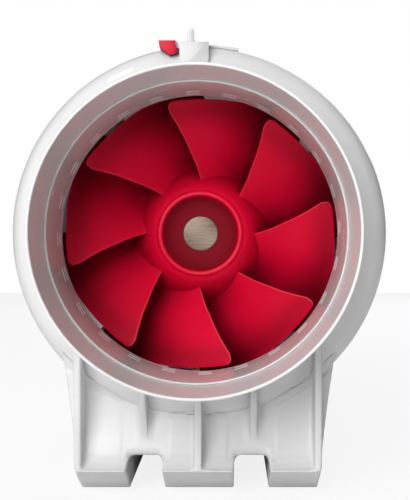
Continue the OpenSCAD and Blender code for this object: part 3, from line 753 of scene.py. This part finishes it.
def hub_boss():
    """The boss on the motor shaft and the web that holds it in the hub."""
    web_y = HUB_FLOOR_Y + 20 * MM
    web_back_y = web_y + 4 * MM
    front_y = web_y - 8 * MM
    back_y = web_y + 26 * MM
    return lathe("boss", rounded([
        (SHAFT_R, front_y, 0.3 * MM), (BOSS_R, front_y, 1 * MM), (BOSS_R, web_y, 2 * MM),
        (BOSS_WEB_R, web_y, 0), (BOSS_WEB_R, web_back_y, 0), (BOSS_R, web_back_y, 2 * MM),
        (BOSS_R, back_y, 1 * MM), (SHAFT_R, back_y, 0.3 * MM),
    ]), 96)


blades = [blade(radians(FIRST_BLADE + 360 * i / BLADES)) for i in range(BLADES)]
for piece in blades:
    weld(piece)
impeller = join("impeller_moulding", [hub(), hub_boss()] + blades)
soften(impeller, SHARP_IMPELLER)
place(impeller, "rotor", "red_gloss", RED, "impeller")


# ---- Other pieces: the CAD's shapes with rounded edges, each with its radius in mm ----

ROUNDING = {
    "centre_casing": 0.5, "impeller_shroud": 0.4, "guide_vane_ring": 0.5, "outlet_diffuser": 0.4,
    "tail_cone": 0.6, "front_latch_block": 0.7, "rear_latch_block": 0.7,
    "front_latch_lever": 0.6, "rear_latch_lever": 0.6, "front_strap": 0.4, "rear_strap": 0.4,
    "terminal_box": 0.8, "terminal_box_lid": 0.8, "gland_body": 0.3, "gland_nut": 0.4,
    "gland_locknut": 0.2, "hub_cap": 0.2, "impeller_nut": 0.4, "motor_rear_cover": 0.6,
    "motor_front_shield": 0.6, "run_capacitor": 0.8, "terminal_block": 0.3,
    "terminal_box_screws": 0.1,
}
for node, radius in ROUNDING.items():
    slot = SLOT_OF[node]
    finish = LATCH_WHITE if node.endswith("latch_block") else SLOT_MATERIAL[slot]
    piece = from_cad(node + "_shape", node, radius * MM)
    place(piece, body_of(frame["nodes"][node])[0], slot, finish, node)


# ---- Pedestal ----

PED_VOXEL = 1.3 * MM
PED_COLLAR_SET_BACK = 1.2 * MM
PED_COLLAR_CLEAR = 8.5 * MM
PED_COLLAR_NEAR = 1.2 * MM
PED_COLLAR_ALIGNED = 0.92
PED_RAMP_DEPTH = 24 * MM
PED_RAMP_FOOT = 22 * MM
PED_RAMP_TOP = 86 * MM
TOE_HALF_HEIGHT = 7 * MM
TOE_DEPTH = 9 * MM
TOE_END = 12 * MM
NOTCH_TOP = 31 * MM
NOTCH_MIDDLE = 43.5 * MM
NOTCH_HALF = 14.5 * MM
NOTCH_RIB_X = 45 * MM
NOTCH_RIB_HALF = 6 * MM
NOTCH_RIB_FADE = 42 * MM
LIP_ROLL = 9 * MM


def panel_y(z):
    """Front surface of the pedestal's panels at a height, before any rib."""
    share = min(1, max(-1, (PED_RAMP_TOP - z) / (PED_RAMP_TOP - PED_RAMP_FOOT)))
    return PED_LO.y + PED_RAMP_DEPTH * sin(acos(share))


def collar_set_back(x, y, z, normal):
    """How far the collar's face moves back from the casing's shoulder.

    It sits a little behind the shoulder, so its edge reads as a clean line.
    """
    r = hypot(x, z - AXIS_H)
    shoulder_y = shoulder_corners()[0] + (r - SPIGOT_R) / tan(SHOULDER_TURN)
    facing = Vector((x / r, -tan(SHOULDER_TURN), (z - AXIS_H) / r)).normalized()
    aligned = normal.dot(facing) - PED_COLLAR_ALIGNED
    if r > SPIGOT_R + PED_COLLAR_CLEAR and abs(y - shoulder_y) < PED_COLLAR_NEAR and aligned > 0:
        return PED_COLLAR_SET_BACK * smoothstep(aligned / 0.05)
    return 0


def on_toe(x, y, z):
    """Whether a place is on the toe's upper edge, which is well rounded."""
    level = abs(z - PED_RAMP_FOOT) < TOE_HALF_HEIGHT
    return level and y < PED_LO.y + TOE_DEPTH and x < PED_HI.x - TOE_END


def over_notch_y(x, y, z):
    """Where a place over a notch moves to, or None if it stays.

    There the panel runs down to a rolled edge, and the rib above the notch fades out.
    """
    aside = abs(x - NOTCH_MIDDLE)
    above = z - NOTCH_TOP
    if aside >= NOTCH_HALF + 6 * MM or not -3 * MM < above < PED_RAMP_TOP + 2 * MM - NOTCH_TOP:
        return None
    near = 1 - smoothstep((aside - NOTCH_HALF + 4 * MM) / (8 * MM))
    under = min(max(0, LIP_ROLL - above) * near, LIP_ROLL)
    surface = panel_y(z) + LIP_ROLL - sqrt(LIP_ROLL ** 2 - under ** 2)
    if y >= surface:
        return None
    stands = 0
    if abs(x - NOTCH_RIB_X) < NOTCH_RIB_HALF:
        stands = smoothstep((above - LIP_ROLL) / NOTCH_RIB_FADE)
    return surface - (surface - y) * stands


def add_smoothing(obj, name, iterations, group=""):
    smooth = obj.modifiers.new(name, "SMOOTH")
    smooth.vertex_group = group
    smooth.factor = 0.5
    smooth.iterations = iterations


def pedestal_shape():
    """The pedestal as one moulding, with every edge blended.

    Both ends are alike, and so are both sides. So each vertex is looked at as if it were at the
    inlet end, on the right.
    """
    obj = from_cad("pedestal_shape", "pedestal", 0)
    remesh = obj.modifiers.new("blend", "REMESH")
    remesh.mode = "VOXEL"
    remesh.voxel_size = PED_VOXEL
    add_smoothing(obj, "smooth", 4)
    bake_modifiers(obj)
    sweep = obj.vertex_groups.new(name="sweep")
    # normals are worked out again after any move, so they are copied first
    normals = [vert.normal.copy() for vert in obj.data.vertices]
    for vert, normal in zip(obj.data.vertices, normals):
        end = 1 if vert.co.y > 0 else -1
        x, y, z = abs(vert.co.x), -abs(vert.co.y), vert.co.z
        normal = Vector((abs(normal.x), -end * normal.y, normal.z))
        vert.co.y -= end * collar_set_back(x, y, z, normal)
        moved_y = over_notch_y(x, y, z)
        if moved_y is not None:
            vert.co.y = -end * moved_y
        if moved_y is not None or on_toe(x, y, z):
            sweep.add([vert.index], 1, "REPLACE")
    add_smoothing(obj, "soft", 9, "sweep")
    bake_modifiers(obj)
    smooth_faces(obj)
    return obj


place(pedestal_shape(), "body", "white_satin", PED_WHITE, "pedestal")


# ---- Camera, lights and floor ----

def add_to_scene(name, data, location, rotation):
    obj = bpy.data.objects.new(name, data)
    obj.location = location
    obj.rotation_euler = rotation
    bpy.context.scene.collection.objects.link(obj)
    return obj


def towards(location, target):
    """The rotation that points a lamp at a target."""
    return (Vector(target) - Vector(location)).to_track_quat("-Z", "Y").to_euler()


def area_light(name, location, target, size, power):
    light = bpy.data.lights.new(name, "AREA")
    light.size = size
    light.energy = power
    add_to_scene(name, light, location, towards(location, target))


def spot_light(name, location, target, size, cone, blend, power):
    light = bpy.data.lights.new(name, "SPOT")
    light.energy = power
    light.spot_size = radians(cone)
    light.spot_blend = blend
    light.shadow_soft_size = size
    add_to_scene(name, light, location, towards(location, target))


CAM_DISTANCE = 0.700
CAM_RIGHT = 0.0266
CAM_BELOW = 0.0083
SENSOR = 36
FOCAL_SHARE = 1.9238
camera = bpy.data.cameras.new("camera")
camera.sensor_width = SENSOR
camera.lens = SENSOR * FOCAL_SHARE
camera.shift_x = -0.052
camera.shift_y = -0.014
camera_place = (CAM_RIGHT, RIM_Y - CAM_DISTANCE, AXIS_H - CAM_BELOW)
bpy.context.scene.camera = add_to_scene("camera", camera, camera_place, (radians(90), 0, 0))

MIDDLE = (0, -0.1, 0.2)
area_light("key", (-0.72, -2.15, 1.05), MIDDLE, 1.6, 58)
area_light("side", (-1.9, -0.5, 0.7), MIDDLE, 0.8, 1.5)
# a narrow light straight into the duct
spot_light("snoot", (0.22, RIM_Y - 1.3, AXIS_H - 0.17), (0, -0.1, AXIS_H), 0.12, 9.4, 0.5, 34)
area_light("ceiling", (0, 0, 3), (0, 0, 0), 5, 40)
area_light("back", (0.7, 2.3, 1.5), (0, 0.1, 0.2), 1.6, 22)

# the world looks white to the camera and lights the fan softly
WORLD_GLOW = 0.07
world = bpy.data.worlds.new("studio")
world.use_nodes = True
bpy.context.scene.world = world
sky = world.node_tree
paper = sky.nodes["Background"]
paper.inputs["Color"].default_value = (1, 1, 1, 1)
glow = sky.nodes.new("ShaderNodeBackground")
glow.inputs["Color"].default_value = (1, 1, 1, 1)
glow.inputs["Strength"].default_value = WORLD_GLOW
path = sky.nodes.new("ShaderNodeLightPath")
choose = sky.nodes.new("ShaderNodeMixShader")
sky.links.new(path.outputs["Is Camera Ray"], choose.inputs["Fac"])
sky.links.new(glow.outputs["Background"], choose.inputs[1])
sky.links.new(paper.outputs["Background"], choose.inputs[2])
sky.links.new(choose.outputs["Shader"], sky.nodes["World Output"].inputs["Surface"])

# the floor glows for the camera, so that it comes out nearly white
FLOOR_SIZE = 3
FLOOR_Z = -0.5 * MM
FLOOR_GLOW = 0.85
corners = ((-1, -1), (1, -1), (1, 1), (-1, 1))
floor = add_mesh("floor", [(x * FLOOR_SIZE, y * FLOOR_SIZE, FLOOR_Z) for x, y in corners],
                 [(0, 1, 2, 3)], smooth=False)
floor_mat, floor_tree, floor_shader = new_material("floor")
floor_shader.inputs["Base Color"].default_value = (0.9, 0.9, 0.9, 1)
floor_shader.inputs["Roughness"].default_value = 0.9
floor_glow = floor_tree.nodes.new("ShaderNodeEmission")
floor_path = floor_tree.nodes.new("ShaderNodeLightPath")
floor_share = floor_tree.nodes.new("ShaderNodeMath")
floor_share.operation = "MULTIPLY"
floor_share.inputs[1].default_value = FLOOR_GLOW
floor_mix = floor_tree.nodes.new("ShaderNodeMixShader")
floor_output = floor_tree.nodes["Material Output"]
floor_tree.links.new(floor_path.outputs["Is Camera Ray"], floor_share.inputs[0])
floor_tree.links.new(floor_share.outputs["Value"], floor_mix.inputs["Fac"])
floor_tree.links.new(floor_shader.outputs["BSDF"], floor_mix.inputs[1])
floor_tree.links.new(floor_glow.outputs["Emission"], floor_mix.inputs[2])
floor_tree.links.new(floor_mix.outputs["Shader"], floor_output.inputs["Surface"])
floor.data.materials.append(floor_mat)

bpy.context.scene.view_settings.view_transform = "Standard"
